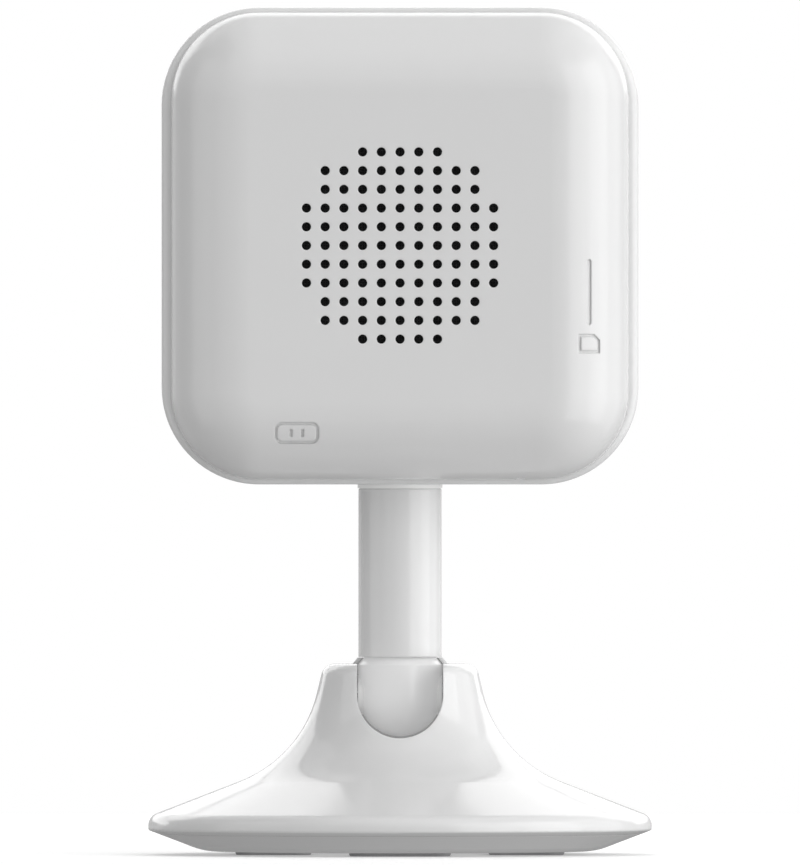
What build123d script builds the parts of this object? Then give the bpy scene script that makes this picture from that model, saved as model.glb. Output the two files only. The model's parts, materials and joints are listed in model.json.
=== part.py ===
from build123d import *
from math import cos, radians, sin, sqrt, tan
import os

# Indoor security camera: a square head that swivels on a short stem, which
# folds back at a hinge in the neck of a flared round base.
# Millimetres. +Z is up, the lens looks along -Y, and the origin is the centre
# of the base on the surface that the rubber feet stand on.

# ---------------------------------------------------------------- driving sizes
head_size = 58.4            # width and height of the square front housing
head_corner = 11.9          # corner radius of the front housing, seen from the front
front_depth = 12.0          # front face ahead of the swivel axis
back_depth = 16.0           # back face behind the swivel axis
stem_diameter = 10.2
stem_length = 20.65         # plain tube between the knuckle and the head's collar
base_radius = 30.87
pivot_height = 19.6         # fold axis above the standing surface
neck_top = 23.4             # flat top of the base's neck

# Clearances
press_gap = 0.05            # a plug in a bore on the same body
slip_gap = 0.1              # covers, lids and boards beside a wall
shaft_gap = 0.04            # a pin or shaft that turns in its bore
swing_gap = 0.15            # rounded stem end in the base's slot
slide_gap = 0.15            # small sliding pieces in their guides

# Base shell
base_wall = 1.8
slope_angle = 21.1          # skirt of the base, from the horizontal
neck_angle = 76.6           # side of the neck, from the horizontal
neck_radius = 10.25         # neck at the fold axis
waist_round = 15.3
neck_round = 1.7
rim_height = 4.67           # where the skirt would meet the rim
rim_round = 1.6
rim_edge_round = 0.3
under_round = 8.0           # from the flat underside into its bevel
ceiling_round = 3.0         # inside the shell, under the neck
under_angle = 20.9          # underside bevel of the base
bevel_width = 6.87          # underside bevel, from the flat to the rim
neck_floor = 10.9           # underside of the solid neck
lip_height = 0.75           # half collar in front of the stem's foot
lip_wall = 0.55

# Bottom plate, feet and ballast
foot_stand = 0.4            # how far the pads stand proud
foot_sunk = 0.4
foot_width = 12.4
foot_length = 9.3
foot_place = 15.5           # pad centres from the base's axis
foot_corner = 2.0
foot_count = 4
foot_edge_round = 0.25
plate_thickness = 2.0
rim_width = 1.37            # shell outside the bottom plate
plate_rim_height = 0.9
plate_rim_width = 1.6
ballast_thickness = 2.2
ballast_gap = 0.8           # above the ballast ring, under the skirt
ballast_clear = 1.0         # between the ballast ring and the magnet cup
magnet_radius = 8.0
magnet_thickness = 3.0
cup_wall = 0.9

# Fasteners: shank radius, head radius, head height
small_screw = (0.8, 1.5, 0.8)
case_screw = (1.0, 1.9, 1.1)
drive_share = 0.45          # driver recess, of the head's radius
boss_wall = 1.2
boss_roof = 1.2             # solid end of a blind boss
screw_tip_gap = 0.6         # from a screw's tip to the end of its hole
retainer_screw_length = 6.4
board_screw_length = 5.8

# Fold hinge
pin_radius = 1.5
pin_length = 16.0
washer_radius = 2.4
washer_thickness = 0.75
washer_gap = 0.1            # washer to the cheek of the slot
retainer_radius = 10.6
retainer_thickness = 1.6
retainer_drop = 2.4         # rim of the retainer's cup below the fold axis
retainer_screw_place = (7.0, 5.6)

# Stem
stem_wall = 1.3
stem_foot_height = 4.65     # square end of the tube above the fold axis
knuckle_chamfer = 0.75
knuckle_chamfer_height = 0.95
plugs_apart = 4.15          # between the plugs at the two ends of the tube
tube_chamfer = 0.15

# Swivel
swivel_limit = 170.0        # degrees each way
collar_height = 0.5
collar_radius = 5.2
spigot_radius = 3.0
spigot_tip_radius = 2.4
bush_radius = 4.8
bush_above_wall = 3.0
bush_nut_radius = 6.2
bush_nut_thickness = 1.6
stop_radius = 3.7           # stop plate without its lug
stop_height = 0.8
stop_slack = 1.5            # degrees, swivel limit to the stops' edges
stop_gap = 0.2              # stop plate inside the bushing's tab
spring_washer_thickness = 0.5
clip_radius = 4.0
clip_thickness = 0.6
clip_groove = 0.45
clip_mouth = 1.6            # half the clip's open side
spigot_flat = 1.9           # flat on the tip, from the swivel axis
spigot_end = 0.9            # tip beyond the clip
clip_notch = 0.5            # radius of the clip's plier notches
clip_notch_angles = (50, 130)

# Head shells
front_wall = 2.2
side_wall = 2.0
front_edge_round = 2.2
seam_edge_round = 1.0
rear_wall = 1.6
rear_inset_side = 1.2       # rear cover inside the front housing, left and right
rear_inset_top = 0.6        # and at top and bottom
rear_round = 9.4            # soft edge of the rear cover
rear_straight = 0.4
tongue_length = 1.4
tongue_wall = 0.7

# Sound holes of the rear cover, on a square grid
hole_pitch = 2.287
hole_diameter = 1.12
hole_rows = (5, 9, 9, 11, 11, 11, 11, 11, 9, 9, 5)

# Shallow marks of the rear cover
mark_depth = 0.2
mark_line = 0.32
port_mark_place = (12.6, -22.9)
port_mark_size = (5.4, 2.6)
port_mark_corner = 0.9
port_contact_place = 0.7
card_mark_place = (-23.1, -12.0)
card_mark_size = (2.6, 2.3)
card_mark_cut = 0.7         # cut corner of the card
slot_mark_place = (-23.1, -5.7)
slot_mark_length = 8.0
slot_mark_line = 0.48

# Front window and lens
window_radius = 23.0
window_thickness = 1.0
window_sunk = 0.2
microphone_hole = 0.5       # radius
port_hole = 1.0             # radius of the lights' and microphone's holes in the front
trim_radius = 8.5
trim_bore = 6.3
trim_proud = 0.8
trim_edge = 0.5             # chamfer outside and funnel inside
barrel_radius = 6.0
barrel_length = 7.8
barrel_wall = 1.1
barrel_sunk = 0.5           # barrel front behind the trim ring's front
glass_crown = 0.9
glass_depth = 2.2           # back of the front glass behind the barrel's front
glass_ledge = 1.3           # width of the ledge behind the front glass
barrel_lip = 0.6
element_thickness = 1.2
element_gap = 0.4
holder_radius = 7.6
holder_width = 16.0
holder_corner = 1.5
holder_collar = 3.0         # round part ahead of the square part
holder_base_height = 4.0
sensor_size = (7.2, 6.4, 0.8)
sensor_room = 9.0           # square hollow of the holder over the sensor

# Boards
board_thickness = 1.2
sensor_board_back = -0.4
sensor_board_size = 26.0
sensor_board_corner = 3.0
sensor_post_place = 10.5
sensor_post_radius = 2.0
sensor_post_shoulder = 1.0  # what the LED board rests on
led_board_front = -8.2
led_board_thickness = 1.0
led_board_radius = 18.0
led_board_bore = 9.6
led_ring = 15.3
led_count = 8
led_radius = 1.5
led_rim = 0.2               # flange of an LED round its lens
led_rim_height = 0.5
light_sensor_size = (2.0, 2.0, 0.8)
microphone_size = (3.0, 4.0, 1.1)
status_led_size = (1.6, 0.8, 0.7)
light_pipe_radius = 1.5
main_board_front = 2.6
board_margin = 1.2          # main board inside the front housing's walls
board_notch_width = 17.0    # notch in the main board round the swivel
board_notch_height = 7.5
case_screw_ring = 20.6
case_screw_angle = 60.0
case_boss_root = 0.8        # rear bosses run this far into the rear wall
case_thread_end = 3.0       # from the rear wall to the end of the screw's hole
shield_wall = 0.3
shield_x = (-8.5, 8.5)
shield_z = (-4.5, 11.5)
shield_height = 2.2
shield_round = 0.25
memory_x = (12.0, 20.0)
memory_length = 9.0
memory_lows = (-9.5, 2.5)
memory_height = 1.0
connector_x = (-5.0, 5.0)
connector_z = (-10.0, -6.5)
spreader_size = (30.0, 6.4, 1.0)
spreader_place = 11.6

# Sockets, reset, speaker
usb_place = 12.6
usb_size = (7.6, 2.7, 5.6)
usb_wall = 0.35
usb_end_wall = 0.6
usb_corner = 0.8
usb_tongue = (4.4, 0.6)
usb_clear = 0.2             # hole round the socket
usb_mouth = (11.4, 7.0)
usb_mouth_depth = 0.9
card_socket_size = (14.6, 1.5, 13.0)
card_socket_wall = 0.25
card_socket_rail = 0.4
card_place = -7.5           # card slot centre from the head's centre
card_slot = (12.0, 1.1)
reset_place = -14.8
reset_radius = 0.6
reset_inset = 1.5           # hole behind the seam
reset_travel = 0.3
reset_recess = 0.5          # button's end inside the hole
reset_flange_radius = 1.0
reset_flange_height = 0.6
reset_flange_gap = 0.3      # under the button's flange at rest
switch_width = 4.4
switch_height = 3.6
switch_depth = 1.6          # body behind the button's axis
plunger_radius = 0.9
plunger_height = 0.9
plunger_gap = 0.05          # button to plunger with the button pressed
speaker_radius = 14.1
speaker_depth = 5.3
speaker_magnet_radius = 7.0
speaker_magnet_depth = 2.5
cone_wall = 0.35
cone_former = 3.5           # radius of the coil former
cone_gap = 1.4              # cone's edge inside the frame
cone_edge_width = 1.0
cone_sunk = 0.3             # cone's edge below the gasket, at rest
cone_depth = 2.1            # root of the cone below its edge
cone_cap_depth = 1.1        # top of the dust cap below the cone's edge
cone_foot_gap = 1.3         # coil former to the outside of the frame's floor
frame_wall = 0.8
frame_rim = 0.9
frame_rim_height = 1.2
frame_hub_rim = 1.5         # hub outside the magnet
gasket_thickness = 1.1
gasket_width = 1.2
mesh_thickness = 0.4
speaker_ring_wall = 1.2
speaker_ring_start = 1.4    # locating ring's edge ahead of the speaker's back

# Aerial
aerial_size = (18.0, 5.0, 0.6)
aerial_y = -6.5             # front edge
lead_radius = 0.55
lead_bend = 2.3
lead_x = 4.0
lead_start_y = -4.0
plug_size = 2.4
plug_height = 1.0
lead_drop = 5.2             # plug's centre below the aerial

# IR filter shutter
ir_cut_travel = 5.0
filter_size = 4.6
filter_thickness = 0.5
carriage_thickness = 1.1
carriage_border = 0.7       # frame round a filter
carriage_corner = 0.6
coil_size = (8.0, 3.8, 3.4)
coil_round = 0.5

# ---------------------------------------------------------------- worked out
tube_foot = pivot_height + stem_foot_height
stem_top = tube_foot + stem_length
head_bottom = stem_top + collar_height
total_height = head_bottom + head_size
head_z = head_bottom + head_size / 2
front_y = -front_depth
back_y = back_depth
seam_y = back_y - rear_round - rear_straight
wall_inside_y = front_y + front_wall
rear_inside_y = back_y - rear_wall
main_board_back = main_board_front + board_thickness
sensor_board_front = sensor_board_back - board_thickness
stem_radius = stem_diameter / 2
slot_radius = stem_radius + swing_gap
bore_radius = stem_radius - stem_wall
plug_length = (stem_length - plugs_apart) / 2
plate_top = foot_stand + plate_thickness
plate_seam = base_radius - rim_width
under_flat = base_radius - bevel_width
boss_radius = small_screw[0] + boss_wall
bush_top = head_bottom + side_wall + bush_above_wall
stop_half_angle = (180 - swivel_limit) / 2 - stop_slack
window_back = front_y + window_sunk + window_thickness

parts_folder = "parts"


# ---------------------------------------------------------------- helpers
def on_head(place):
    """Turn a place given from the head's centre into X and Z in space."""
    return place[0], head_z + place[1]


def slab(outline, y_front, y_back):
    """Extrude an outline, drawn in X and Z about the head's centre, along Y."""
    plane = Plane(origin=(0, y_back, head_z), x_dir=(1, 0, 0), z_dir=(0, -1, 0))
    return extrude(plane * outline, amount=y_back - y_front)


def rod(radius, y_front, y_back, place=(0, 0)):
    """A cylinder along Y at a place given from the head's centre."""
    return slab(Pos(*place) * Circle(radius), y_front, y_back)


def post(radius, z_low, z_high, place=(0, 0)):
    """An upright cylinder."""
    height = z_high - z_low
    return Pos(place[0], place[1], z_low + height / 2) * Cylinder(radius, height)


def block(x_range, y_range, z_range):
    """A box between pairs of limits."""
    spans = [high - low for low, high in (x_range, y_range, z_range)]
    middles = [(low + high) / 2 for low, high in (x_range, y_range, z_range)]
    return Pos(*middles) * Box(*spans)


def turned(*points, radii=None):
    """Revolve an outline of (radius, height) points about the Z axis."""
    if radii is None:
        line = Polyline(*[(r, 0, z) for r, z in points], close=True)
        return revolve(make_face(line), Axis.Z)
    line = FilletPolyline(*[(r, 0, z) for r, z in points], radius=radii)
    closing = Line(line @ 1, line @ 0)
    return revolve(make_face([line, closing]), Axis.Z)


def polar(radius, angle):
    """A point on a circle, with the angle in degrees."""
    return radius * cos(radians(angle)), radius * sin(radians(angle))


def screw(sizes, length):
    """A pan-head screw on the Z axis: head below z=0, shank above."""
    shank, head, head_height = sizes
    recess = post(head * drive_share, -head_height, -head_height / 2)
    return post(shank, 0, length) + post(head, -head_height, 0) - recess


def screw_along_y(sizes, length, place, y, towards=1):
    """The same screw along Y, with its head's seat at y."""
    x, z = on_head(place)
    return Pos(x, y, z) * Rot(-90 * towards, 0, 0) * screw(sizes, length)


def save(name, *shapes):
    """Write one node as a STEP file."""
    solids = [solid for shape in shapes for solid in shape.solids()]
    export_step(Compound(solids), os.path.join(parts_folder, name + ".step"))


# ---------------------------------------------------------------- base
def skirt_height(radius):
    """Height of the base's straight skirt, without its rounded ends."""
    return rim_height + (base_radius - radius) * tan(radians(slope_angle))


def skirt_inside(radius):
    """Height of the skirt's inner face."""
    return skirt_height(radius) - base_wall / cos(radians(slope_angle))


def skirt_reach(height):
    """Radius of the skirt's inner face at a height."""
    rise = height + base_wall / cos(radians(slope_angle)) - rim_height
    return base_radius - rise / tan(radians(slope_angle))


def boss_top():
    """Where the bosses for the bottom plate's screws run into the skirt."""
    return skirt_inside(foot_place - boss_radius)


def underside(radius):
    """Height of the bevel under the base."""
    return foot_stand + (radius - under_flat) * tan(radians(under_angle))


def neck_side(height):
    """Radius of the neck's straight side."""
    return neck_radius - (height - pivot_height) / tan(radians(neck_angle))


def waist_corner():
    """Where the straight skirt and the straight neck side would meet."""
    lean = 1 / tan(radians(neck_angle))
    slope = tan(radians(slope_angle))
    run = base_radius - neck_radius - pivot_height * lean
    height = (rim_height + run * slope) / (1 - slope * lean)
    return neck_side(height), height


def stem_room(radius, reach):
    """The space that the round-ended stem sweeps as it folds back."""
    lying = Pos(0, reach / 2, pivot_height) * Rot(90, 0, 0) * Cylinder(radius, reach)
    between = block((-radius, radius), (0, reach), (pivot_height, pivot_height + reach))
    ball = Pos(0, 0, pivot_height) * Sphere(radius)
    room = post(radius, pivot_height, pivot_height + reach) + lying + between + ball
    return room + pin_along_x(washer_radius + swing_gap, 2 * radius)


def pin_along_x(radius, length):
    return Pos(0, 0, pivot_height) * Rot(0, 90, 0) * Cylinder(radius, length)


def neck_lip():
    """Half collar in front of the stem's foot, leaning in over the knuckle."""
    lean = lip_height * knuckle_chamfer / knuckle_chamfer_height
    top = neck_top + lip_height
    outline = [(slot_radius, neck_top), (slot_radius + lip_wall, neck_top),
               (slot_radius + lip_wall - lean, top), (slot_radius - lean, top)]
    ring = turned(*outline)
    reach = 2 * slot_radius
    return ring & block((-reach, reach), (-reach, 0), (neck_top, top))


def foot_places():
    return [polar(foot_place, 360 / foot_count * i) for i in range(foot_count)]


def retainer_screw_places():
    x, y = retainer_screw_place
    return [(x, y), (-x, -y)]


def base_shell():
    opening = plate_seam + slip_gap
    shoulder = underside(plate_seam) + plate_rim_height
    shoulder_radius = plate_seam - plate_rim_width + slip_gap
    shell = turned(
        (0, neck_top), (neck_side(neck_top), neck_top), waist_corner(),
        (base_radius, rim_height), (base_radius, underside(base_radius)),
        (opening, underside(opening)), (opening, shoulder), (shoulder_radius, shoulder),
        (shoulder_radius, skirt_inside(shoulder_radius)),
        (skirt_reach(neck_floor), neck_floor), (0, neck_floor),
        radii=[neck_round, waist_round, rim_round, rim_edge_round, 0, 0, 0, 0, ceiling_round],
    )
    shell -= stem_room(slot_radius, base_radius)
    shell -= post(slot_radius, neck_floor, pivot_height)
    half_pin = pin_length / 2 + slip_gap
    pin_room = pin_radius + press_gap
    shell -= pin_along_x(pin_room, 2 * half_pin)
    shell -= block((-half_pin, half_pin), (-pin_room, pin_room), (neck_floor, pivot_height))
    pocket = neck_floor - retainer_thickness - small_screw[2] - slip_gap
    shell -= post(retainer_radius + slip_gap, pocket, neck_floor)
    thread = small_screw[0] + press_gap
    thread_end = neck_floor - retainer_thickness + retainer_screw_length + screw_tip_gap
    for place in retainer_screw_places():
        shell -= post(thread, neck_floor, thread_end, place)
    for place in foot_places():
        shell += post(boss_radius, plate_top, boss_top(), place)
        shell -= post(thread, plate_top, boss_top() - boss_roof, place)
    return shell + neck_lip()


def foot_outline(index, growth):
    """Rounded pad outline, its long side across the radius."""
    x, y = foot_places()[index]
    outline = RectangleRounded(foot_length + growth, foot_width + growth, foot_corner)
    return Pos(x, y) * Rot(0, 0, 360 / foot_count * index) * outline


def base_plate():
    rim_top = underside(plate_seam) + plate_rim_height
    rim_inside = plate_seam - plate_rim_width
    plate = turned(
        (0, foot_stand), (under_flat, foot_stand), (plate_seam, underside(plate_seam)),
        (plate_seam, rim_top), (rim_inside, rim_top),
        (rim_inside - plate_rim_height, plate_top), (0, plate_top),
        radii=[under_round, 0, 0, 0, 0],
    )
    pocket = foot_stand + foot_sunk
    shank, head, head_height = small_screw
    for i, place in enumerate(foot_places()):
        plate -= extrude(foot_outline(i, 2 * slip_gap), amount=pocket)
        plate -= post(head + slip_gap, foot_stand, pocket + head_height + slip_gap, place)
        plate -= post(shank + slip_gap, foot_stand, plate_top, place)
    return plate


def foot_pads():
    height = foot_stand + foot_sunk
    pads = [extrude(foot_outline(i, 0), amount=height) for i in range(foot_count)]
    return [fillet(pad.edges().group_by(Axis.Z)[0], foot_edge_round) for pad in pads]


def base_screws():
    seat = foot_stand + foot_sunk + small_screw[2] + slip_gap
    length = boss_top() - boss_roof - screw_tip_gap - seat
    return [Pos(x, y, seat) * screw(small_screw, length) for x, y in foot_places()]


def ballast_ring():
    top = plate_top + ballast_thickness
    ring = post(skirt_reach(top + ballast_gap), plate_top, top)
    ring -= post(magnet_radius + slip_gap + cup_wall + ballast_clear, plate_top, top)
    for place in foot_places():
        ring -= post(boss_radius + slip_gap, plate_top, top, place)
    return ring


def base_magnet():
    return post(magnet_radius, plate_top, plate_top + magnet_thickness)


def magnet_cup():
    top = plate_top + magnet_thickness
    cup = post(magnet_radius + slip_gap + cup_wall, plate_top, top + cup_wall)
    return cup - post(magnet_radius + slip_gap, plate_top, top)


def hinge_retainer():
    """Block screwed up under the neck: it holds the pin and cups the knuckle."""
    half = pin_length / 2 - slip_gap
    body = post(retainer_radius, neck_floor - retainer_thickness, neck_floor)
    body += post(slot_radius - slip_gap, neck_floor, pivot_height - retainer_drop)
    body += block((-half, half), (slip_gap - pin_radius, pin_radius - slip_gap),
                  (neck_floor, pivot_height - pin_radius))
    body -= stem_room(slot_radius, base_radius)
    for place in retainer_screw_places():
        body -= post(small_screw[0] + slip_gap, 0, neck_floor, place)
    return body


def retainer_screws():
    seat = neck_floor - retainer_thickness
    return [Pos(x, y, seat) * screw(small_screw, retainer_screw_length)
            for x, y in retainer_screw_places()]


def hinge_pin():
    return pin_along_x(pin_radius, pin_length)


# ---------------------------------------------------------------- stem
def washer_seat():
    """Distance of the knuckle's flats from the middle of the stem."""
    return slot_radius - washer_gap - washer_thickness


def hinge_knuckle():
    """Ball-ended foot of the stem, with a chamfered shoulder and a plug."""
    shoulder = tube_foot - knuckle_chamfer_height
    plug = bore_radius - press_gap
    profile = turned((0, pivot_height), (stem_radius, pivot_height), (stem_radius, shoulder),
                     (stem_radius - knuckle_chamfer, tube_foot), (plug, tube_foot),
                     (plug, tube_foot + plug_length), (0, tube_foot + plug_length))
    body = profile + Pos(0, 0, pivot_height) * Sphere(stem_radius)
    body -= pin_along_x(pin_radius + shaft_gap, 2 * stem_radius)
    for side in (-1, 1):
        depth = stem_radius - washer_seat()
        middle = side * (washer_seat() + depth / 2)
        body -= Pos(middle, 0, pivot_height) * Rot(0, 90, 0) * Cylinder(washer_radius, depth)
    return body


def hinge_washers():
    washers = []
    for side in (-1, 1):
        middle = side * (washer_seat() + washer_thickness / 2)
        disc = Cylinder(washer_radius, washer_thickness)
        disc -= Cylinder(pin_radius + shaft_gap, washer_thickness)
        washers.append(Pos(middle, 0, pivot_height) * Rot(0, 90, 0) * disc)
    return washers


def stem_tube():
    tube = post(stem_radius, tube_foot, stem_top) - post(bore_radius, tube_foot, stem_top)
    return chamfer(tube.edges().group_by(Axis.Z)[-1].sort_by(SortBy.LENGTH)[-1], tube_chamfer)


def key_sector(inner, outer, half_angle, z_low, z_high):
    """A block between two radii, centred on +Y."""
    ring = post(outer, z_low, z_high) - post(inner, z_low, z_high)
    half_width = outer * sin(radians(half_angle))
    return ring & block((-half_width, half_width), (0, outer), (z_low, z_high))


def clip_low():
    """Underside of the clip, above the stop plate and the spring washer."""
    return bush_top + shaft_gap + stop_height + spring_washer_thickness


def beyond_flat(distance, z_low, z_high):
    """What the flat on the front of the spigot's tip takes away."""
    reach = spigot_radius
    return block((-reach, reach), (-reach, -distance), (z_low, z_high))


def swivel_spigot():
    """Shouldered pivot: plug in the tube, shaft, tip with a clip groove."""
    groove_low = clip_low()
    groove_high = groove_low + clip_thickness
    end = groove_high + spigot_end
    groove_radius = spigot_tip_radius - clip_groove
    plug = bore_radius - press_gap
    body = turned(
        (0, stem_top - plug_length), (plug, stem_top - plug_length), (plug, stem_top),
        (spigot_radius, stem_top), (spigot_radius, bush_top), (spigot_tip_radius, bush_top),
        (spigot_tip_radius, groove_low), (groove_radius, groove_low),
        (groove_radius, groove_high), (spigot_tip_radius, groove_high),
        (spigot_tip_radius, end), (0, end))
    return body - beyond_flat(spigot_flat, bush_top, groove_low)


def swivel_stop_plate():
    """Plate on the flat of the spigot, with the lug that ends the swivel."""
    low = bush_top + shaft_gap
    plate = post(stop_radius, low, low + stop_height)
    plate += key_sector(spigot_radius, bush_radius, stop_half_angle, low, low + stop_height)
    hole = post(spigot_tip_radius + shaft_gap, low, low + stop_height)
    return plate - (hole - beyond_flat(spigot_flat + shaft_gap, low, low + stop_height))


def swivel_spring_washer():
    high = clip_low()
    low = high - spring_washer_thickness
    return post(stop_radius, low, high) - post(spigot_tip_radius + slip_gap, low, high)


def swivel_clip():
    low = clip_low()
    high = low + clip_thickness
    inner = spigot_tip_radius - clip_groove + press_gap
    clip = post(clip_radius, low, high) - post(inner, low, high)
    clip -= block((-clip_mouth, clip_mouth), (-clip_radius, 0), (low, high))
    for angle in clip_notch_angles:
        clip -= post(clip_notch, low, high, polar(clip_radius, angle))
    return clip


# ---------------------------------------------------------------- head shells
def inner_outline(inset):
    """Outline inside the front housing's side walls, inset further if asked."""
    size = head_size - 2 * (side_wall + inset)
    return RectangleRounded(size, size, head_corner - side_wall - inset)


def case_screw_places():
    x, z = polar(case_screw_ring, case_screw_angle)
    return [(x, z), (-x, z), (-x, -z), (x, -z)]


def sensor_post_places():
    at = sensor_post_place
    return [(at, at), (-at, at), (-at, -at), (at, -at)]


def led_places():
    step = 360 / led_count
    return [polar(led_ring, step * (i + 0.5)) for i in range(led_count)]


status_place = polar(led_ring, 180)
light_sensor_place = polar(led_ring, 90)
microphone_place = polar(led_ring, 270)


def usb_centre_y():
    return main_board_front - usb_size[1] / 2


def reset_centre_y():
    return seam_y + reset_inset


def usb_openings():
    """Hole for the socket and shallow mouth for the plug's grip."""
    width, depth, _ = usb_size
    hole = RectangleRounded(width + 2 * usb_clear, depth + 2 * usb_clear, usb_corner)
    hole = Pos(usb_place, usb_centre_y()) * hole
    mouth = Pos(usb_place, usb_centre_y()) * SlotOverall(*usb_mouth)
    low = Pos(0, 0, head_bottom)
    return extrude(low * hole, amount=side_wall) + extrude(low * mouth, amount=usb_mouth_depth)


def card_opening():
    length, width = card_slot
    middle = main_board_front - card_socket_size[1] / 2
    at = head_z + card_place
    outside = -head_size / 2
    return block((outside, outside + side_wall), (middle - width / 2, middle + width / 2),
                 (at - length / 2, at + length / 2))


def front_housing():
    body = slab(RectangleRounded(head_size, head_size, head_corner), front_y, seam_y)
    body = fillet(body.edges().group_by(Axis.Y)[0], front_edge_round)
    body = fillet(body.edges().group_by(Axis.Y)[-1], seam_edge_round)
    body -= slab(inner_outline(0), wall_inside_y, seam_y)
    body -= rod(window_radius + slip_gap, front_y, window_back)
    body -= rod(trim_bore, window_back, wall_inside_y)
    for place in led_places():
        body -= rod(led_radius + slip_gap, window_back, wall_inside_y, place)
    for place in (status_place, light_sensor_place, microphone_place):
        body -= rod(port_hole, window_back, wall_inside_y, place)
    for place in sensor_post_places():
        shoulder = sensor_post_radius + sensor_post_shoulder
        body += rod(shoulder, wall_inside_y, led_board_front, place)
        body += rod(sensor_post_radius, led_board_front, sensor_board_front, place)
        thread_end = sensor_board_back - board_screw_length - screw_tip_gap
        body -= rod(small_screw[0] + press_gap, thread_end, sensor_board_front, place)
    shank, head, head_height = case_screw
    for place in case_screw_places():
        body += rod(shank + boss_wall, wall_inside_y, main_board_front, place)
        body -= rod(shank + slip_gap, window_back, main_board_front, place)
        body -= rod(head + slip_gap, window_back, window_back + head_height + slip_gap, place)
    body -= post(bush_radius + press_gap, head_bottom, head_bottom + side_wall)
    return body - usb_openings() - card_opening()


def rear_body(inset):
    """Solid rear cover, or the same inside a skin of the given thickness."""
    width = head_size - 2 * (rear_inset_side + inset)
    height = head_size - 2 * (rear_inset_top + inset)
    corner = head_corner - rear_inset_side - inset
    body = slab(RectangleRounded(width, height, corner), seam_y, back_y - inset)
    return fillet(body.edges().group_by(Axis.Y)[-1], rear_round - inset)


def sound_holes():
    rows = len(hole_rows)
    holes = []
    for row, count in enumerate(hole_rows):
        z = (row - (rows - 1) / 2) * hole_pitch
        for column in range(count):
            x = (column - (count - 1) / 2) * hole_pitch
            holes.append(Pos(x, z) * Circle(hole_diameter / 2))
    return slab(Sketch() + holes, rear_inside_y, back_y)


def port_mark():
    """Plain outline of a socket with two contacts."""
    width, height = port_mark_size
    line = 2 * mark_line
    frame = RectangleRounded(width, height, port_mark_corner)
    frame -= RectangleRounded(width - line, height - line, port_mark_corner - mark_line)
    contacts = [Pos(x, 0) * Rectangle(mark_line, port_mark_corner)
                for x in (-port_contact_place, port_contact_place)]
    return Pos(*port_mark_place) * (frame + contacts)


def card_mark():
    """Plain outline of a card with one cut corner, beside a line for its slot."""
    width, height = card_mark_size
    half_x, half_z = width / 2, height / 2
    outline = Polyline((-half_x, -half_z), (half_x, -half_z), (half_x, half_z),
                       (card_mark_cut - half_x, half_z), (-half_x, half_z - card_mark_cut),
                       close=True)
    card = make_face(outline)
    card -= offset(card, -mark_line, kind=Kind.INTERSECTION)
    line = Rot(0, 0, 90) * SlotOverall(slot_mark_length, slot_mark_line)
    return Pos(*card_mark_place) * card + Pos(*slot_mark_place) * line


def rear_cover():
    body = rear_body(0)
    body += slab(inner_outline(slip_gap), seam_y - tongue_length, seam_y)
    cavity = slab(inner_outline(slip_gap + tongue_wall), seam_y - tongue_length, rear_inside_y)
    body -= fillet(cavity.edges().group_by(Axis.Y)[-1], rear_round - rear_wall)
    ring = speaker_radius + slip_gap
    ring_front = speaker_back() + speaker_ring_start
    body += rod(ring + speaker_ring_wall, ring_front, rear_inside_y)
    body -= rod(ring, ring_front, rear_inside_y)
    shank = case_screw[0]
    for place in case_screw_places():
        body += rod(shank + boss_wall, main_board_back, rear_inside_y + case_boss_root, place)
        body -= rod(shank + press_gap, main_board_back, rear_inside_y - case_thread_end, place)
    body -= post(bush_nut_radius + swing_gap, head_bottom + rear_inset_top, bush_top)
    body -= post(reset_radius, head_bottom, reset_flange_low(), (reset_place, reset_centre_y()))
    body -= sound_holes()
    for mark in (port_mark(), card_mark()):
        body -= slab(mark, seam_y, back_y) - rear_body(mark_depth)
    return body


def case_screws():
    seat = window_back + case_screw[2] + slip_gap
    length = rear_inside_y - case_thread_end - screw_tip_gap - seat
    return [screw_along_y(case_screw, length, place, seat) for place in case_screw_places()]


# ---------------------------------------------------------------- lens and shutter
def front_window():
    disc = rod(window_radius, front_y + window_sunk, window_back)
    disc -= rod(trim_radius + slip_gap, front_y, window_back)
    return disc - rod(microphone_hole, front_y, window_back, microphone_place)


def turned_along_y(*points):
    """Revolve an outline of (radius, y) points about the lens axis."""
    return Pos(0, 0, head_z) * Rot(-90, 0, 0) * turned(*points)


def trim_front():
    return front_y - trim_proud


def barrel_front():
    return trim_front() + barrel_sunk


def barrel_back():
    return barrel_front() + barrel_length


def lens_trim_ring():
    front = trim_front()
    return turned_along_y((trim_bore, window_back), (trim_bore, front + trim_edge),
                          (trim_bore + trim_edge, front), (trim_radius - trim_edge, front),
                          (trim_radius, front + trim_edge), (trim_radius, window_back))


def glass_radius():
    return barrel_radius - barrel_wall


def lens_bore():
    """Radius of the clear way behind the front glass."""
    return glass_radius() - glass_ledge


def lens_barrel():
    seat = barrel_front() + glass_depth
    lip = barrel_front() + barrel_lip
    return turned_along_y((glass_radius() + trim_edge, barrel_front()),
                          (barrel_radius, barrel_front()), (barrel_radius, barrel_back()),
                          (lens_bore(), barrel_back()), (lens_bore(), seat),
                          (glass_radius(), seat), (glass_radius(), lip))


def dome(radius, crown, front, back):
    """A disc along Y with a spherical front face."""
    ball_radius = (radius**2 + crown**2) / (2 * crown)
    ball = Pos(0, front + ball_radius, head_z) * Sphere(ball_radius)
    return rod(radius, front, back) & ball


def lens_front_glass():
    front = barrel_front() + slip_gap
    back = barrel_front() + glass_depth
    return dome(glass_radius() - press_gap, glass_crown, front, back)


def lens_elements():
    radius = lens_bore() - press_gap
    first = barrel_front() + glass_depth + element_gap
    last = barrel_back() - element_gap
    return [rod(radius, first, first + element_thickness),
            rod(radius, first + 2 * element_thickness, last)]


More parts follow.
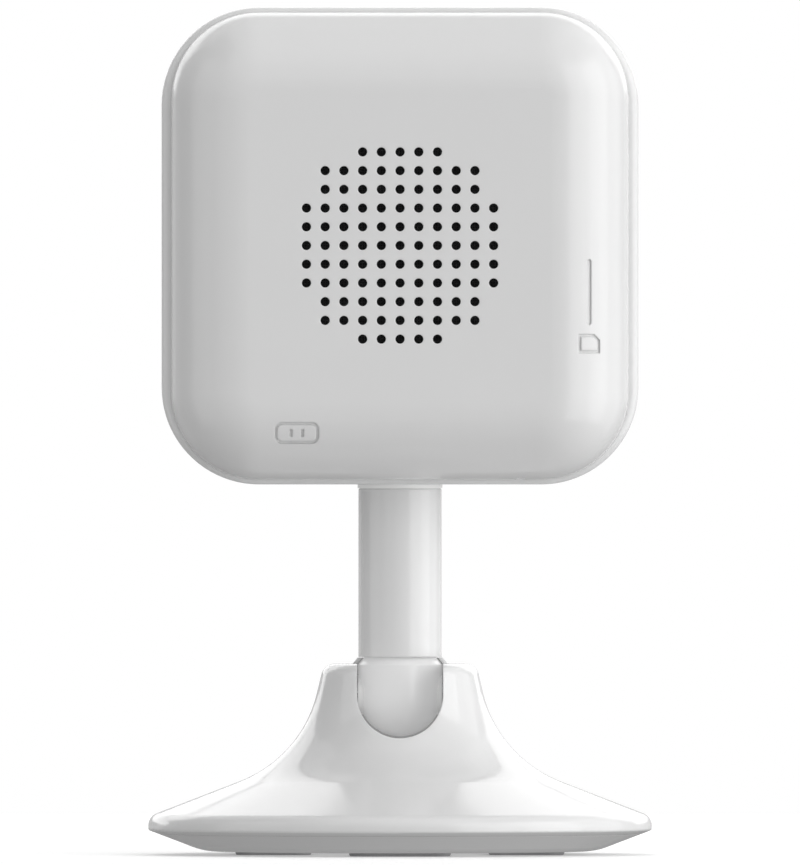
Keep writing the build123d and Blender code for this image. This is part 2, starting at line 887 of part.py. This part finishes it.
def carriage_y():
    """Front and back of the sliding filter carriage."""
    front = barrel_back() + 2 * slide_gap
    return front, front + carriage_thickness


def carriage_height():
    return filter_size + 2 * carriage_border


def lens_holder():
    base_front = sensor_board_front - holder_base_height
    collar_front = base_front - holder_collar
    square = RectangleRounded(holder_width, holder_width, holder_corner)
    body = rod(holder_radius, collar_front, base_front)
    body += slab(square, base_front, sensor_board_front)
    body -= rod(barrel_radius + press_gap, collar_front, barrel_back())
    front, back = carriage_y()
    channel = Rectangle(holder_width, carriage_height() + 2 * slide_gap)
    body -= slab(channel, front - slide_gap, back + slide_gap)
    body -= rod(lens_bore(), barrel_back(), front)
    room = Rectangle(sensor_room, sensor_room)
    return body - slab(room, back + slide_gap, sensor_board_front)


def filter_centres():
    """The filter in front of the sensor at rest, and the clear pane beside it."""
    return (0, -ir_cut_travel)


def ir_cut_carriage():
    height = carriage_height()
    plate = RectangleRounded(height + ir_cut_travel, height, carriage_corner)
    plate = Pos(-ir_cut_travel / 2, 0) * plate
    for x in filter_centres():
        plate -= Pos(x, 0) * Rectangle(filter_size, filter_size)
    return slab(plate, *carriage_y())


def ir_cut_filters():
    size = filter_size - 2 * press_gap
    front = carriage_y()[0] + (carriage_thickness - filter_thickness) / 2
    return [slab(Pos(x, 0) * Rectangle(size, size), front, front + filter_thickness)
            for x in filter_centres()]


def ir_cut_motor():
    width, depth, height = coil_size
    low = head_z + holder_width / 2
    coil = block((-width / 2, width / 2), (sensor_board_front - depth, sensor_board_front),
                 (low, low + height))
    return fillet(coil.edges().filter_by(Axis.X), coil_round)


def image_sensor():
    width, height, depth = sensor_size
    return block((-width / 2, width / 2), (sensor_board_front - depth, sensor_board_front),
                 (head_z - height / 2, head_z + height / 2))


# ---------------------------------------------------------------- boards
def sensor_board():
    outline = RectangleRounded(sensor_board_size, sensor_board_size, sensor_board_corner)
    board = slab(outline, sensor_board_front, sensor_board_back)
    for place in sensor_post_places():
        board -= rod(small_screw[0] + slip_gap, sensor_board_front, sensor_board_back, place)
    return board


def board_screws():
    return [screw_along_y(small_screw, board_screw_length, place, sensor_board_back, towards=-1)
            for place in sensor_post_places()]


def led_board():
    back = led_board_front + led_board_thickness
    board = rod(led_board_radius, led_board_front, back)
    board -= rod(led_board_bore, led_board_front, back)
    for place in sensor_post_places():
        board -= rod(sensor_post_radius + slip_gap, led_board_front, back, place)
    return board


def ir_leds():
    leds = []
    lens = led_radius - led_rim
    tip_y = window_back + slip_gap + lens
    for place in led_places():
        x, z = on_head(place)
        tip = Pos(x, tip_y, z) * Sphere(lens)
        body = tip & rod(lens, window_back, tip_y, place)
        body += rod(lens, tip_y, led_board_front, place)
        rim_front = led_board_front - led_rim_height
        leds.append(body + rod(led_radius, rim_front, led_board_front, place))
    return leds


def on_led_board(place, width, height, depth):
    """A component on the front face of the LED board."""
    x, z = on_head(place)
    return block((x - width / 2, x + width / 2), (led_board_front - depth, led_board_front),
                 (z - height / 2, z + height / 2))


def light_sensor():
    return on_led_board(light_sensor_place, *light_sensor_size)


def microphone():
    return on_led_board(microphone_place, *microphone_size)


def status_led():
    return on_led_board(status_place, *status_led_size)


def light_pipe():
    front = rod(port_hole - press_gap, window_back, wall_inside_y, status_place)
    foot_y = led_board_front - status_led_size[2]
    return front + rod(light_pipe_radius, wall_inside_y, foot_y, status_place)


def main_board():
    size = head_size - 2 * (side_wall + board_margin)
    outline = inner_outline(board_margin)
    notch_z = (board_notch_height - size) / 2
    outline -= Pos(0, notch_z) * Rectangle(board_notch_width, board_notch_height)
    board = slab(outline, main_board_front, main_board_back)
    for place in case_screw_places():
        board -= rod(case_screw[0] + slip_gap, main_board_front, main_board_back, place)
    return board


def on_main_board(x_range, z_range, depth):
    """A component on the front face of the main board, placed from its centre."""
    heights = (head_z + z_range[0], head_z + z_range[1])
    return block(x_range, (main_board_front - depth, main_board_front), heights)


def shrunk(span, wall):
    """A pair of limits moved in by a wall."""
    return span[0] + wall, span[1] - wall


def processor_shield():
    can = on_main_board(shield_x, shield_z, shield_height)
    can -= on_main_board(shrunk(shield_x, shield_wall), shrunk(shield_z, shield_wall),
                         shield_height - shield_wall)
    return fillet(can.edges().group_by(Axis.Y)[0], shield_round)


def memory_chips():
    return [on_main_board(memory_x, (low, low + memory_length), memory_height)
            for low in memory_lows]


def board_connector():
    depth = main_board_front - sensor_board_back
    return on_main_board(connector_x, connector_z, depth)


def heat_spreader():
    width, height, thickness = spreader_size
    outline = Pos(0, spreader_place) * RectangleRounded(width, height, thickness)
    return slab(outline, main_board_back, main_board_back + thickness)


def usb_socket():
    width, depth, height = usb_size
    low = head_bottom + usb_mouth_depth
    middle = usb_centre_y()
    x_range = (usb_place - width / 2, usb_place + width / 2)
    y_range = (middle - depth / 2, middle + depth / 2)
    shell = block(x_range, y_range, (low, low + height))
    shell = fillet(shell.edges().filter_by(Axis.Z).group_by(Axis.Y)[0], 2 * usb_wall)
    shell -= block(shrunk(x_range, usb_wall), shrunk(y_range, usb_wall),
                   (low, low + height - usb_end_wall))
    tongue_width, tongue_thickness = usb_tongue
    return shell + block((usb_place - tongue_width / 2, usb_place + tongue_width / 2),
                         (middle, middle + tongue_thickness),
                         (low + usb_end_wall, low + height))


def card_socket():
    depth_x, thick, tall = card_socket_size
    outside = -head_size / 2 + side_wall + slip_gap
    at = head_z + card_place
    y_range = (main_board_front - thick, main_board_front)
    z_range = (at - tall / 2, at + tall / 2)
    shell = block((outside, outside + depth_x), y_range, z_range)
    return shell - block((outside, outside + depth_x - card_socket_wall),
                         shrunk(y_range, card_socket_wall), shrunk(z_range, card_socket_rail))


def reset_switch():
    y = reset_centre_y()
    plunger_low = reset_button_top() + reset_travel + plunger_gap
    low = plunger_low + plunger_height
    body = block((reset_place - switch_width / 2, reset_place + switch_width / 2),
                 (main_board_back, y + switch_depth), (low, low + switch_height))
    return body + post(plunger_radius, plunger_low, low, (reset_place, y))


def rear_floor(y):
    """Height of the rear cover's curved inner floor."""
    curve = rear_round - rear_wall
    past = y - (rear_inside_y - curve)
    return head_bottom + side_wall + slip_gap + tongue_wall + curve - sqrt(curve**2 - past**2)


def reset_flange_low():
    """Underside of the button's flange, just above the rear cover's floor."""
    return rear_floor(reset_centre_y() + reset_flange_radius) + reset_flange_gap


def reset_button_top():
    return reset_flange_low() + reset_flange_height


def reset_button():
    at = (reset_place, reset_centre_y())
    low = head_bottom + rear_inset_top + reset_recess
    stem = post(reset_radius - slip_gap, low, reset_button_top(), at)
    return stem + post(reset_flange_radius, reset_flange_low(), reset_button_top(), at)


# ---------------------------------------------------------------- speaker and aerial
def speaker_front():
    return rear_inside_y - mesh_thickness - gasket_thickness


def speaker_back():
    return speaker_front() - speaker_depth


def speaker_frame():
    front, back = speaker_front(), speaker_back()
    hub = speaker_magnet_radius + frame_hub_rim
    flange = front - frame_rim_height
    seat = speaker_radius - frame_rim
    return turned_along_y((0, back), (hub, back), (seat + slip_gap, flange),
                          (speaker_radius, flange), (speaker_radius, front), (seat, front),
                          (seat, front - frame_rim), (seat - frame_rim_height / 2, flange),
                          (hub - frame_wall / 2, back + frame_wall), (0, back + frame_wall))


def speaker_cone():
    """Thin cone with its dust cap and coil former."""
    edge = speaker_radius - cone_gap
    top = speaker_front() - cone_sunk
    roll = edge - cone_edge_width
    cap = top - cone_cap_depth
    root = top - cone_depth
    foot = speaker_back() + cone_foot_gap
    wall, former = cone_wall, cone_former
    return turned_along_y((0, cap), (former, root), (roll, top), (edge, top),
                          (edge, top - wall), (roll + wall / 4, top - wall),
                          (former, root - 1.2 * wall), (former, foot), (former - wall, foot),
                          (former - wall, root - wall), (0, cap - wall))


def speaker_magnet():
    back = speaker_back()
    return rod(speaker_magnet_radius, back - speaker_magnet_depth, back)


def speaker_gasket():
    front = speaker_front()
    back = front + gasket_thickness
    return rod(speaker_radius, front, back) - rod(speaker_radius - gasket_width, front, back)


def grille_mesh():
    return rod(speaker_radius, rear_inside_y - mesh_thickness, rear_inside_y)


def aerial_high():
    """Inside of the housing's top wall."""
    return total_height - side_wall


def wifi_antenna():
    width, depth, thickness = aerial_size
    high = aerial_high()
    return block((-width / 2, width / 2), (aerial_y, aerial_y + depth), (high - thickness, high))


def lead_plug_place():
    """The lead's plug, from the head's centre."""
    return lead_x, aerial_high() - aerial_size[2] - lead_drop - head_z


def antenna_plug():
    x, z = lead_plug_place()
    half = plug_size / 2
    return on_main_board((x - half, x + half), (z - half, z + half), plug_height)


def antenna_lead():
    """Coaxial lead from the aerial down and back to its plug."""
    x, plug_z = on_head(lead_plug_place())
    path = FilletPolyline((x, lead_start_y, aerial_high() - aerial_size[2]),
                          (x, lead_start_y, plug_z),
                          (x, main_board_front - plug_height, plug_z), radius=lead_bend)
    start = Plane(origin=path @ 0, z_dir=path % 0)
    return sweep(start * Circle(lead_radius), path=path)


# ---------------------------------------------------------------- swivel, head side
def swivel_bushing():
    bush = post(collar_radius, stem_top, head_bottom) + post(bush_radius, head_bottom, bush_top)
    tab = key_sector(stop_radius + stop_gap, bush_radius, stop_half_angle, bush_top,
                     bush_top + stop_height)
    bush += Rot(0, 0, 180) * tab
    return bush - post(spigot_radius + shaft_gap, stem_top, bush_top)


def bushing_nut():
    low = head_bottom + side_wall
    outline = Pos(0, 0, low) * RegularPolygon(bush_nut_radius, 6)
    nut = extrude(outline, amount=bush_nut_thickness)
    return nut - post(bush_radius + press_gap, low, low + bush_nut_thickness)


# ---------------------------------------------------------------- nodes
single_nodes = (
    base_shell, base_plate, base_magnet, magnet_cup, ballast_ring, hinge_pin, hinge_retainer,
    stem_tube, hinge_knuckle, swivel_spigot, swivel_stop_plate, swivel_spring_washer,
    swivel_clip, swivel_bushing, bushing_nut, front_housing, rear_cover, front_window,
    lens_trim_ring, lens_barrel, lens_front_glass, lens_holder, ir_cut_carriage, ir_cut_motor,
    image_sensor, sensor_board, led_board, light_sensor, microphone, status_led, light_pipe,
    main_board, processor_shield, board_connector, heat_spreader, usb_socket, card_socket,
    reset_switch, reset_button, speaker_frame, speaker_cone, speaker_magnet, speaker_gasket,
    grille_mesh, wifi_antenna, antenna_plug, antenna_lead,
)
group_nodes = (
    foot_pads, base_screws, retainer_screws, hinge_washers, case_screws, lens_elements,
    ir_cut_filters, board_screws, ir_leds, memory_chips,
)

os.makedirs(parts_folder, exist_ok=True)
for node in single_nodes:
    save(node.__name__, node())
for node in group_nodes:
    save(node.__name__, *node())
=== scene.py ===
import json
from math import cos, pi, radians, sin, tan

import bpy
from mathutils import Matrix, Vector


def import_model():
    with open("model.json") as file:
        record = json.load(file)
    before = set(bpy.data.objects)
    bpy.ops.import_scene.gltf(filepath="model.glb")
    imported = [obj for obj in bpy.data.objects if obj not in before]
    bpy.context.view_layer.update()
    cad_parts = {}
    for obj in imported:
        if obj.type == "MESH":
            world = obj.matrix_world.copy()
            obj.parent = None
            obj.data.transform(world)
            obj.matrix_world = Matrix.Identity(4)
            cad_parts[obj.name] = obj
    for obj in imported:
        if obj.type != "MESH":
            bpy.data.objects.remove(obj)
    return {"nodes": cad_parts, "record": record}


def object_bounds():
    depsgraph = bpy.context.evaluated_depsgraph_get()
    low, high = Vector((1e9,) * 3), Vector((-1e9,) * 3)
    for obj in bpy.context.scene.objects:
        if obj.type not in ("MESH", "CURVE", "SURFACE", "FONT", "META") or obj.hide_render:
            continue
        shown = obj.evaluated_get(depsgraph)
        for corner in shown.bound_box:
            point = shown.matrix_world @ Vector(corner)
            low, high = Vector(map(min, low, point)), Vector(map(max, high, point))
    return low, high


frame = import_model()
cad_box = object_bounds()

# Finishes, floor, light and camera for an indoor security camera: a square white
# head on a short stem, which folds back in the neck of a flared round base.
# Lengths are in metres. The view is from behind the object: it looks along -Y.

MM = 0.001
WHITE = (1.0, 1.0, 1.0, 1.0)
WAVE_TURN = 20          # radians that a wave texture turns in one unit of its scale


# ---------------------------------------------------------------- node helpers
class Finish:
    """A material under construction, with its shader and its coordinates."""

    def __init__(self, name, **sockets):
        self.material = bpy.data.materials.new(name)
        self.material.use_nodes = True
        self.nodes = self.material.node_tree.nodes
        self.links = self.material.node_tree.links
        self.shader = self.nodes["Principled BSDF"]
        self.place = self.nodes.new("ShaderNodeTexCoord").outputs["Object"]
        self.normal = None
        for socket, value in sockets.items():
            self.shader.inputs[socket.replace("_", " ")].default_value = value

    def node(self, kind, inputs=None, **settings):
        """Add a node; inputs are values or other nodes' outputs."""
        made = self.nodes.new("ShaderNode" + kind)
        for key, value in settings.items():
            setattr(made, key, value)
        for key, value in (inputs or {}).items():
            if isinstance(value, bpy.types.NodeSocket):
                self.links.new(value, made.inputs[key])
            else:
                made.inputs[key].default_value = value
        return made

    def scaled(self, scale):
        """The piece's own coordinates, scaled along each axis."""
        return self.node("Mapping", {"Vector": self.place, "Scale": scale}).outputs[0]

    def noise(self, size, detail, place=None, rough=0.5):
        """Cloudy values from 0 to 1, with spots of about the given size."""
        inputs = {"Vector": place or self.place, "Scale": 1 / size, "Detail": detail,
                  "Roughness": rough}
        return self.node("TexNoise", inputs).outputs["Fac"]

    def cells(self, size, feature="F1", place=None):
        """Distances in a pattern of cells of about the given size."""
        inputs = {"Vector": place or self.place, "Scale": 1 / size}
        return self.node("TexVoronoi", inputs, feature=feature).outputs["Distance"]

    def span(self, value, low, high, from_low=0.3, from_high=0.7):
        """Stretch a value onto a range."""
        inputs = {"Value": value, "From Min": from_low, "From Max": from_high,
                  "To Min": low, "To Max": high}
        return self.node("MapRange", inputs).outputs["Result"]

    def mixed(self, share, first, second):
        """Blend two colours, by a value that runs from 0 to 1."""
        made = self.node("Mix", data_type="RGBA")
        sockets = {(socket.name, socket.type): socket for socket in made.inputs}
        self.links.new(share, sockets["Factor", "VALUE"])
        sockets["A", "RGBA"].default_value = (*first, 1.0)
        sockets["B", "RGBA"].default_value = (*second, 1.0)
        return next(socket for socket in made.outputs if socket.type == "RGBA")

    def soften(self, radius):
        """Round sharp edges in the shading."""
        self.normal = self.node("Bevel", {"Radius": radius}, samples=4).outputs[0]

    def bump(self, height, depth):
        """Add relief of the given depth."""
        inputs = {"Height": height, "Distance": depth}
        if self.normal:
            inputs["Normal"] = self.normal
        self.normal = self.node("Bump", inputs).outputs[0]

    def colour(self, value):
        self.links.new(value, self.shader.inputs["Base Color"])

    def roughness(self, value):
        self.links.new(value, self.shader.inputs["Roughness"])

    def done(self):
        if self.normal:
            self.links.new(self.normal, self.shader.inputs["Normal"])
        return self.material


def tint(colour, share):
    """A colour made lighter or darker by a share."""
    return tuple(min(1.0, part * (1 + share)) for part in colour)


# ---------------------------------------------------------------- plastics and rubber
# Light that enters white plastic and comes out again a little way off
GLOW = {"Subsurface_Weight": 0.35, "Subsurface_Scale": 0.7 * MM,
        "Subsurface_Radius": (1.0, 1.0, 1.0)}
# Painted light: a faint glow, though these pieces are no lamps, that lifts small white pieces
# out of the shade of the slots and gaps they sit in
PAINTED_FILL_GLOW = {"Emission_Color": WHITE, "Emission_Strength": 0.18}


def moulded(name, colour, low, high, spread=0.012, **sockets):
    """Moulded plastic: fine grain, a trace of flow marks and an uneven gloss, whose
    roughness runs from low to high. The colour varies by the share called spread."""
    made = Finish(name, **sockets)
    made.soften(0.25 * MM)
    grain = made.noise(0.35 * MM, detail=3.0)
    made.bump(grain, 0.0012 * MM)
    flow_marks = made.noise(9 * MM, detail=1.0)
    made.bump(flow_marks, 0.004 * MM)
    clouds = made.noise(14 * MM, detail=2.0)
    made.colour(made.mixed(clouds, tint(colour, -spread), tint(colour, spread)))
    smears = made.noise(2.5 * MM, detail=4.0)
    made.roughness(made.span(smears, low, high))
    return made.done()


def shell_white():
    return moulded("shell_white", (0.80, 0.80, 0.80), 0.16, 0.22, **GLOW)


def base_white():
    return moulded("base_white", (0.80, 0.80, 0.80), 0.09, 0.13, **GLOW)


def stem_white():
    return moulded("stem_white", (0.79, 0.79, 0.79), 0.08, 0.12, **GLOW)


# Painted light: the knuckle glows faintly, though it is no lamp, to lift the shade of the slot
# it sits in
def knuckle_white():
    return moulded("knuckle_white", (0.70, 0.70, 0.70), 0.14, 0.20, **GLOW, **PAINTED_FILL_GLOW)


# Painted light: the bushing glows faintly, though it is no lamp, to lift the shade round it
def bush_white():
    return moulded("bush_white", (0.66, 0.66, 0.655), 0.34, 0.44, **PAINTED_FILL_GLOW)


def black_plastic():
    return moulded("black_plastic", (0.022, 0.022, 0.024), 0.38, 0.52, spread=0.15)


def pad_rubber():
    """Matt grey rubber with a pebbled skin."""
    made = Finish("pad_rubber", Specular_IOR_Level=0.35)
    made.soften(0.15 * MM)
    pebbles = made.cells(0.32 * MM, "SMOOTH_F1")
    made.bump(pebbles, 0.03 * MM)
    grain = made.noise(0.08 * MM, detail=3.0)
    made.bump(grain, 0.006 * MM)
    dust = made.noise(3 * MM, detail=4.0)
    made.colour(made.mixed(dust, (0.27, 0.27, 0.275), (0.34, 0.34, 0.345)))
    made.roughness(made.span(dust, 0.62, 0.80))
    return made.done()


def window_black():
    """Black acrylic, polished, slightly wavy, with a trace of red."""
    made = Finish("window_black", IOR=1.49, Coat_Weight=0.3, Coat_Roughness=0.03)
    made.soften(0.12 * MM)
    waves = made.noise(16 * MM, detail=1.0)
    made.bump(waves, 0.004 * MM)
    clouds = made.noise(10 * MM, detail=3.0)
    made.colour(made.mixed(clouds, (0.0045, 0.0040, 0.0048), (0.0075, 0.0058, 0.0066)))
    smears = made.noise(1.5 * MM, detail=5.0)
    made.roughness(made.span(smears, 0.035, 0.075))
    return made.done()


def cone_black():
    """Paper pulp cone, with fibres."""
    made = Finish("cone_black")
    fibres = made.noise(0.5 * MM, detail=6.0, place=made.scaled((1, 1, 0.3)))
    made.bump(fibres, 0.04 * MM)
    made.colour(made.mixed(fibres, (0.012, 0.012, 0.013), (0.035, 0.034, 0.033)))
    made.roughness(made.span(fibres, 0.7, 0.9))
    return made.done()


def gasket_foam():
    """Open-cell foam."""
    made = Finish("gasket_foam")
    pores = made.cells(0.22 * MM)
    made.bump(pores, 0.12 * MM)
    made.colour(made.mixed(pores, (0.010, 0.010, 0.010), (0.055, 0.055, 0.055)))
    made.roughness(made.span(pores, 0.85, 1.0))
    return made.done()


def lead_sheath():
    """Drawn sheath of a thin lead, slightly uneven."""
    made = Finish("lead_sheath")
    unevenness = made.noise(0.4 * MM, detail=3.0)
    made.bump(unevenness, 0.01 * MM)
    made.colour(made.mixed(unevenness, (0.015, 0.015, 0.016), (0.03, 0.03, 0.032)))
    made.roughness(made.span(unevenness, 0.3, 0.45))
    return made.done()


def mesh_black():
    """Dust screen: raised threads along X and along Z."""
    made = Finish("mesh_black")
    pitch = 0.32 * MM
    wave = {"Vector": made.place, "Scale": 2 * pi / (WAVE_TURN * pitch)}
    threads = [made.node("TexWave", wave, bands_direction=axis).outputs["Fac"] for axis in "XZ"]
    weave = made.node("Math", dict(enumerate(threads)), operation="MAXIMUM").outputs[0]
    made.bump(weave, 0.05 * MM)
    made.colour(made.mixed(weave, (0.002, 0.002, 0.002), (0.014, 0.014, 0.015)))
    made.roughness(made.span(weave, 0.8, 0.6, from_low=0.0, from_high=1.0))
    return made.done()


# ---------------------------------------------------------------- metals
def metal(name, colour, low, high, scratch=0.3 * MM, depth=0.002 * MM, spread=0.06,
          scale=(1, 1, 1)):
    """Metal with fine marks, drawn out along an axis whose scale is small. The roughness
    runs from low to high, and the colour varies by the share called spread."""
    made = Finish(name, Metallic=1.0)
    made.soften(0.1 * MM)
    lines = made.noise(scratch, detail=5.0, place=made.scaled(scale), rough=0.6)
    made.bump(lines, depth)
    clouds = made.noise(4 * MM, detail=3.0)
    made.colour(made.mixed(clouds, tint(colour, -spread), tint(colour, spread)))
    made.roughness(made.span(lines, low, high))
    return made.done()


def screw_steel():
    return metal("screw_steel", (0.60, 0.60, 0.62), 0.22, 0.38)


def ballast_steel():
    return metal("ballast_steel", (0.30, 0.30, 0.32), 0.45, 0.65, scratch=0.8 * MM,
                 depth=0.01 * MM, spread=0.12, scale=(1, 0.08, 1))


def magnet_nickel():
    return metal("magnet_nickel", (0.66, 0.63, 0.58), 0.12, 0.22, scratch=1.2 * MM,
                 depth=0.004 * MM)


def trim_metal():
    return metal("trim_metal", (0.55, 0.55, 0.57), 0.22, 0.34, scratch=0.15 * MM,
                 scale=(1, 0.05, 1))


def shield_tin():
    return metal("shield_tin", (0.72, 0.71, 0.68), 0.28, 0.42, scratch=0.5 * MM,
                 depth=0.004 * MM, scale=(0.2, 1, 1))


def spreader_aluminium():
    return metal("spreader_aluminium", (0.78, 0.79, 0.80), 0.25, 0.4, scratch=0.2 * MM,
                 scale=(0.05, 1, 1))


# ---------------------------------------------------------------- glass and boards
def lens_glass():
    """Coated lens: a thin film gives the green and purple tinge."""
    made = Finish("lens_glass", IOR=1.6, Transmission_Weight=1.0, Thin_Film_Thickness=420.0,
                  Thin_Film_IOR=1.38)
    dust = made.noise(2 * MM, detail=4.0)
    waves = made.noise(5 * MM, detail=1.0)
    made.bump(waves, 0.0005 * MM)
    made.colour(made.mixed(dust, (0.93, 0.95, 0.97), (0.97, 0.97, 0.99)))
    made.roughness(made.span(dust, 0.0, 0.02))
    return made.done()


def filter_glass():
    """Infrared filter: cyan by transmission."""
    made = Finish("filter_glass", IOR=1.52, Transmission_Weight=1.0)
    haze = made.noise(1 * MM, detail=3.0)
    made.colour(made.mixed(haze, (0.55, 0.85, 0.92), (0.62, 0.90, 0.96)))
    made.roughness(made.span(haze, 0.0, 0.03))
    return made.done()


def led_clear():
    """Clear epoxy with slight haze."""
    made = Finish("led_clear", IOR=1.54, Transmission_Weight=0.9)
    haze = made.noise(0.6 * MM, detail=3.0)
    made.bump(haze, 0.002 * MM)
    made.colour(made.mixed(haze, (0.86, 0.86, 0.84), (0.96, 0.96, 0.95)))
    made.roughness(made.span(haze, 0.03, 0.12))
    return made.done()


def board_green():
    """Solder mask over a net of copper tracks, which show through it lighter."""
    made = Finish("board_green", IOR=1.5, Coat_Weight=0.4, Coat_Roughness=0.12)
    routes = made.cells(1.7 * MM, "DISTANCE_TO_EDGE", made.scaled((1, 0.02, 1)))
    tracks = made.span(routes, 1.0, 0.0, from_low=0.05, from_high=0.12)
    weave = made.noise(0.25 * MM, detail=2.0)
    made.bump(tracks, 0.02 * MM)
    made.bump(weave, 0.003 * MM)
    made.colour(made.mixed(tracks, (0.008, 0.060, 0.022), (0.030, 0.130, 0.045)))
    made.roughness(made.span(weave, 0.22, 0.36))
    return made.done()


def chip_black():
    """Epoxy moulding compound."""
    made = Finish("chip_black")
    made.soften(0.08 * MM)
    grain = made.noise(0.06 * MM, detail=3.0)
    made.bump(grain, 0.006 * MM)
    made.colour(made.mixed(grain, (0.016, 0.016, 0.017), (0.034, 0.034, 0.035)))
    made.roughness(made.span(grain, 0.45, 0.6))
    return made.done()


# ---------------------------------------------------------------- finishes on the nodes
makers = (
    shell_white, base_white, stem_white, knuckle_white, bush_white, black_plastic, pad_rubber,
    window_black, cone_black, gasket_foam, lead_sheath, mesh_black, screw_steel, ballast_steel,
    magnet_nickel, trim_metal, shield_tin, spreader_aluminium, lens_glass, filter_glass,
    led_clear, board_green, chip_black,
)
finishes = {maker.__name__: maker() for maker in makers}
# Nodes whose finish differs a little from the rest of their slot; the hinge knuckle's finish
# also carries a painted glow
own_finish = {"base_shell": "base_white", "base_plate": "base_white",
              "hinge_retainer": "base_white", "hinge_knuckle": "knuckle_white"}
for part in frame["record"]["subparts"]:
    piece = frame["nodes"][part["node"]]
    finish = own_finish.get(part["node"], part["material_slot"])
    piece.data.materials.clear()
    piece.data.materials.append(finishes[finish])


# ---------------------------------------------------------------- floor, light, camera
FLOOR_RADIUS = 0.45
FLOOR_SIDES = 128
FLOOR_COLOUR = (0.96, 0.96, 0.96)
FLOOR_SPREAD = 0.004        # share by which its colour varies
FLOOR_CLOUDS = 0.4          # size of its lighter and darker spots
FLOOR_GLOW = 0.18
LIGHT_DISTANCE = 1.5
SKY_ABOVE = 0.23
SKY_BELOW = 0.29
SKY_BLEND = 0.06            # sine of the angle, up and down, over which the two blend
LENS_LENGTH = 1450.0        # in millimetres, as is the sensor
SENSOR_SIZE = 36.0
VIEW_SIZE = 1.0219          # height of the view, in heights of the object
VIEW_CENTRE = 0.4986        # height of its centre, in heights of the object

lowest, highest = cad_box
height = highest.z - lowest.z
centre = (lowest + highest) / 2


def floor():
    """A plain pale disc under the object."""
    made = Finish("floor_paint", Specular_IOR_Level=0.2, Emission_Color=WHITE,
                  Emission_Strength=FLOOR_GLOW)
    clouds = made.noise(FLOOR_CLOUDS, detail=2.0)
    made.colour(made.mixed(clouds, tint(FLOOR_COLOUR, -FLOOR_SPREAD),
                           tint(FLOOR_COLOUR, FLOOR_SPREAD)))
    made.roughness(made.span(clouds, 0.75, 0.85))
    bpy.ops.mesh.primitive_circle_add(vertices=FLOOR_SIDES, radius=FLOOR_RADIUS,
                                      fill_type="NGON",
                                      location=(centre.x, centre.y, lowest.z))
    disc = bpy.context.object
    disc.name = "floor"
    disc.data.materials.append(made.done())
    for ray in ("visible_diffuse", "visible_glossy", "visible_shadow"):
        setattr(disc, ray, False)       # the world's lower half stands for its bounce


def softbox(name, azimuth, elevation, across, upright, brightness):
    """A rectangular light that faces the object. Azimuth 0 is behind the object, on the
    camera's side, and 90 is to the camera's right. Its two spans are angles seen from the
    object, in degrees. It is equally bright at any size."""
    flat = cos(radians(elevation))
    towards = Vector((-flat * sin(radians(azimuth)), flat * cos(radians(azimuth)),
                      sin(radians(elevation))))
    lamp = bpy.data.lights.new(name, "AREA")
    lamp.shape = "RECTANGLE"
    lamp.size = 2 * LIGHT_DISTANCE * tan(radians(across / 2))
    lamp.size_y = 2 * LIGHT_DISTANCE * tan(radians(upright / 2))
    lamp.energy = pi * lamp.size * lamp.size_y * brightness
    made = bpy.data.objects.new(name, lamp)
    bpy.context.scene.collection.objects.link(made)
    made.location = centre + LIGHT_DISTANCE * towards
    made.rotation_euler = towards.to_track_quat("Z", "Y").to_euler()


def world():
    """Even light from above and from below, with a white background for the camera."""
    sky = bpy.data.worlds.new("studio")
    sky.use_nodes = True
    nodes, links = sky.node_tree.nodes, sky.node_tree.links
    direction = nodes.new("ShaderNodeTexCoord").outputs["Generated"]
    split = nodes.new("ShaderNodeSeparateXYZ")
    links.new(direction, split.inputs[0])
    ramp = nodes.new("ShaderNodeMapRange")
    for socket, value in (("From Min", -SKY_BLEND), ("From Max", SKY_BLEND),
                          ("To Min", SKY_BELOW), ("To Max", SKY_ABOVE)):
        ramp.inputs[socket].default_value = value
    links.new(split.outputs["Z"], ramp.inputs["Value"])
    light = nodes["Background"]
    light.inputs["Color"].default_value = WHITE
    links.new(ramp.outputs[0], light.inputs["Strength"])
    backdrop = nodes.new("ShaderNodeBackground")
    backdrop.inputs["Color"].default_value = WHITE
    ray = nodes.new("ShaderNodeLightPath")
    pick = nodes.new("ShaderNodeMixShader")
    links.new(ray.outputs["Is Camera Ray"], pick.inputs["Fac"])
    links.new(light.outputs[0], pick.inputs[1])
    links.new(backdrop.outputs[0], pick.inputs[2])
    links.new(pick.outputs[0], nodes["World Output"].inputs["Surface"])
    bpy.context.scene.world = sky


def camera():
    """A long lens behind the object, level, at about half its height."""
    distance = LENS_LENGTH / SENSOR_SIZE * (height * VIEW_SIZE)
    data = bpy.data.cameras.new("camera")
    data.lens = LENS_LENGTH
    data.sensor_width = SENSOR_SIZE
    made = bpy.data.objects.new("camera", data)
    bpy.context.scene.collection.objects.link(made)
    made.location = (centre.x, centre.y + distance, lowest.z + height * VIEW_CENTRE)
    made.rotation_euler = (pi / 2, 0, pi)
    bpy.context.scene.camera = made


# name, azimuth, elevation, span across, span upright, brightness
softboxes = (
    ("far_floor", 180, 0, 80, 8, 0.32),
    ("far_low", 180, 12, 80, 14, 1.54),
    ("far_middle", 180, 30, 80, 20, 1.62),
    ("far_high", 180, 56, 80, 28, 0.57),
    ("overhead", 0, 88, 50, 50, 0.60),
    ("near_high", 0, 50, 60, 30, 0.57),
    ("near_low", 0, 22, 50, 18, 0.46),
    ("key_near", 42, 5, 30, 70, 1.65),
    ("key", 75, 5, 34, 70, 2.12),
    ("key_far", 108, 5, 28, 70, 0.65),
    ("right_high", 90, 52, 60, 30, 0.12),
    ("left_near", -42, 5, 30, 70, 0.39),
    ("left", -75, 5, 34, 70, 0.78),
    ("left_far", -138, 5, 26, 60, 0.13),
)
floor()
for settings in softboxes:
    softbox(*settings)
world()
camera()
bpy.context.scene.view_settings.view_transform = "Standard"
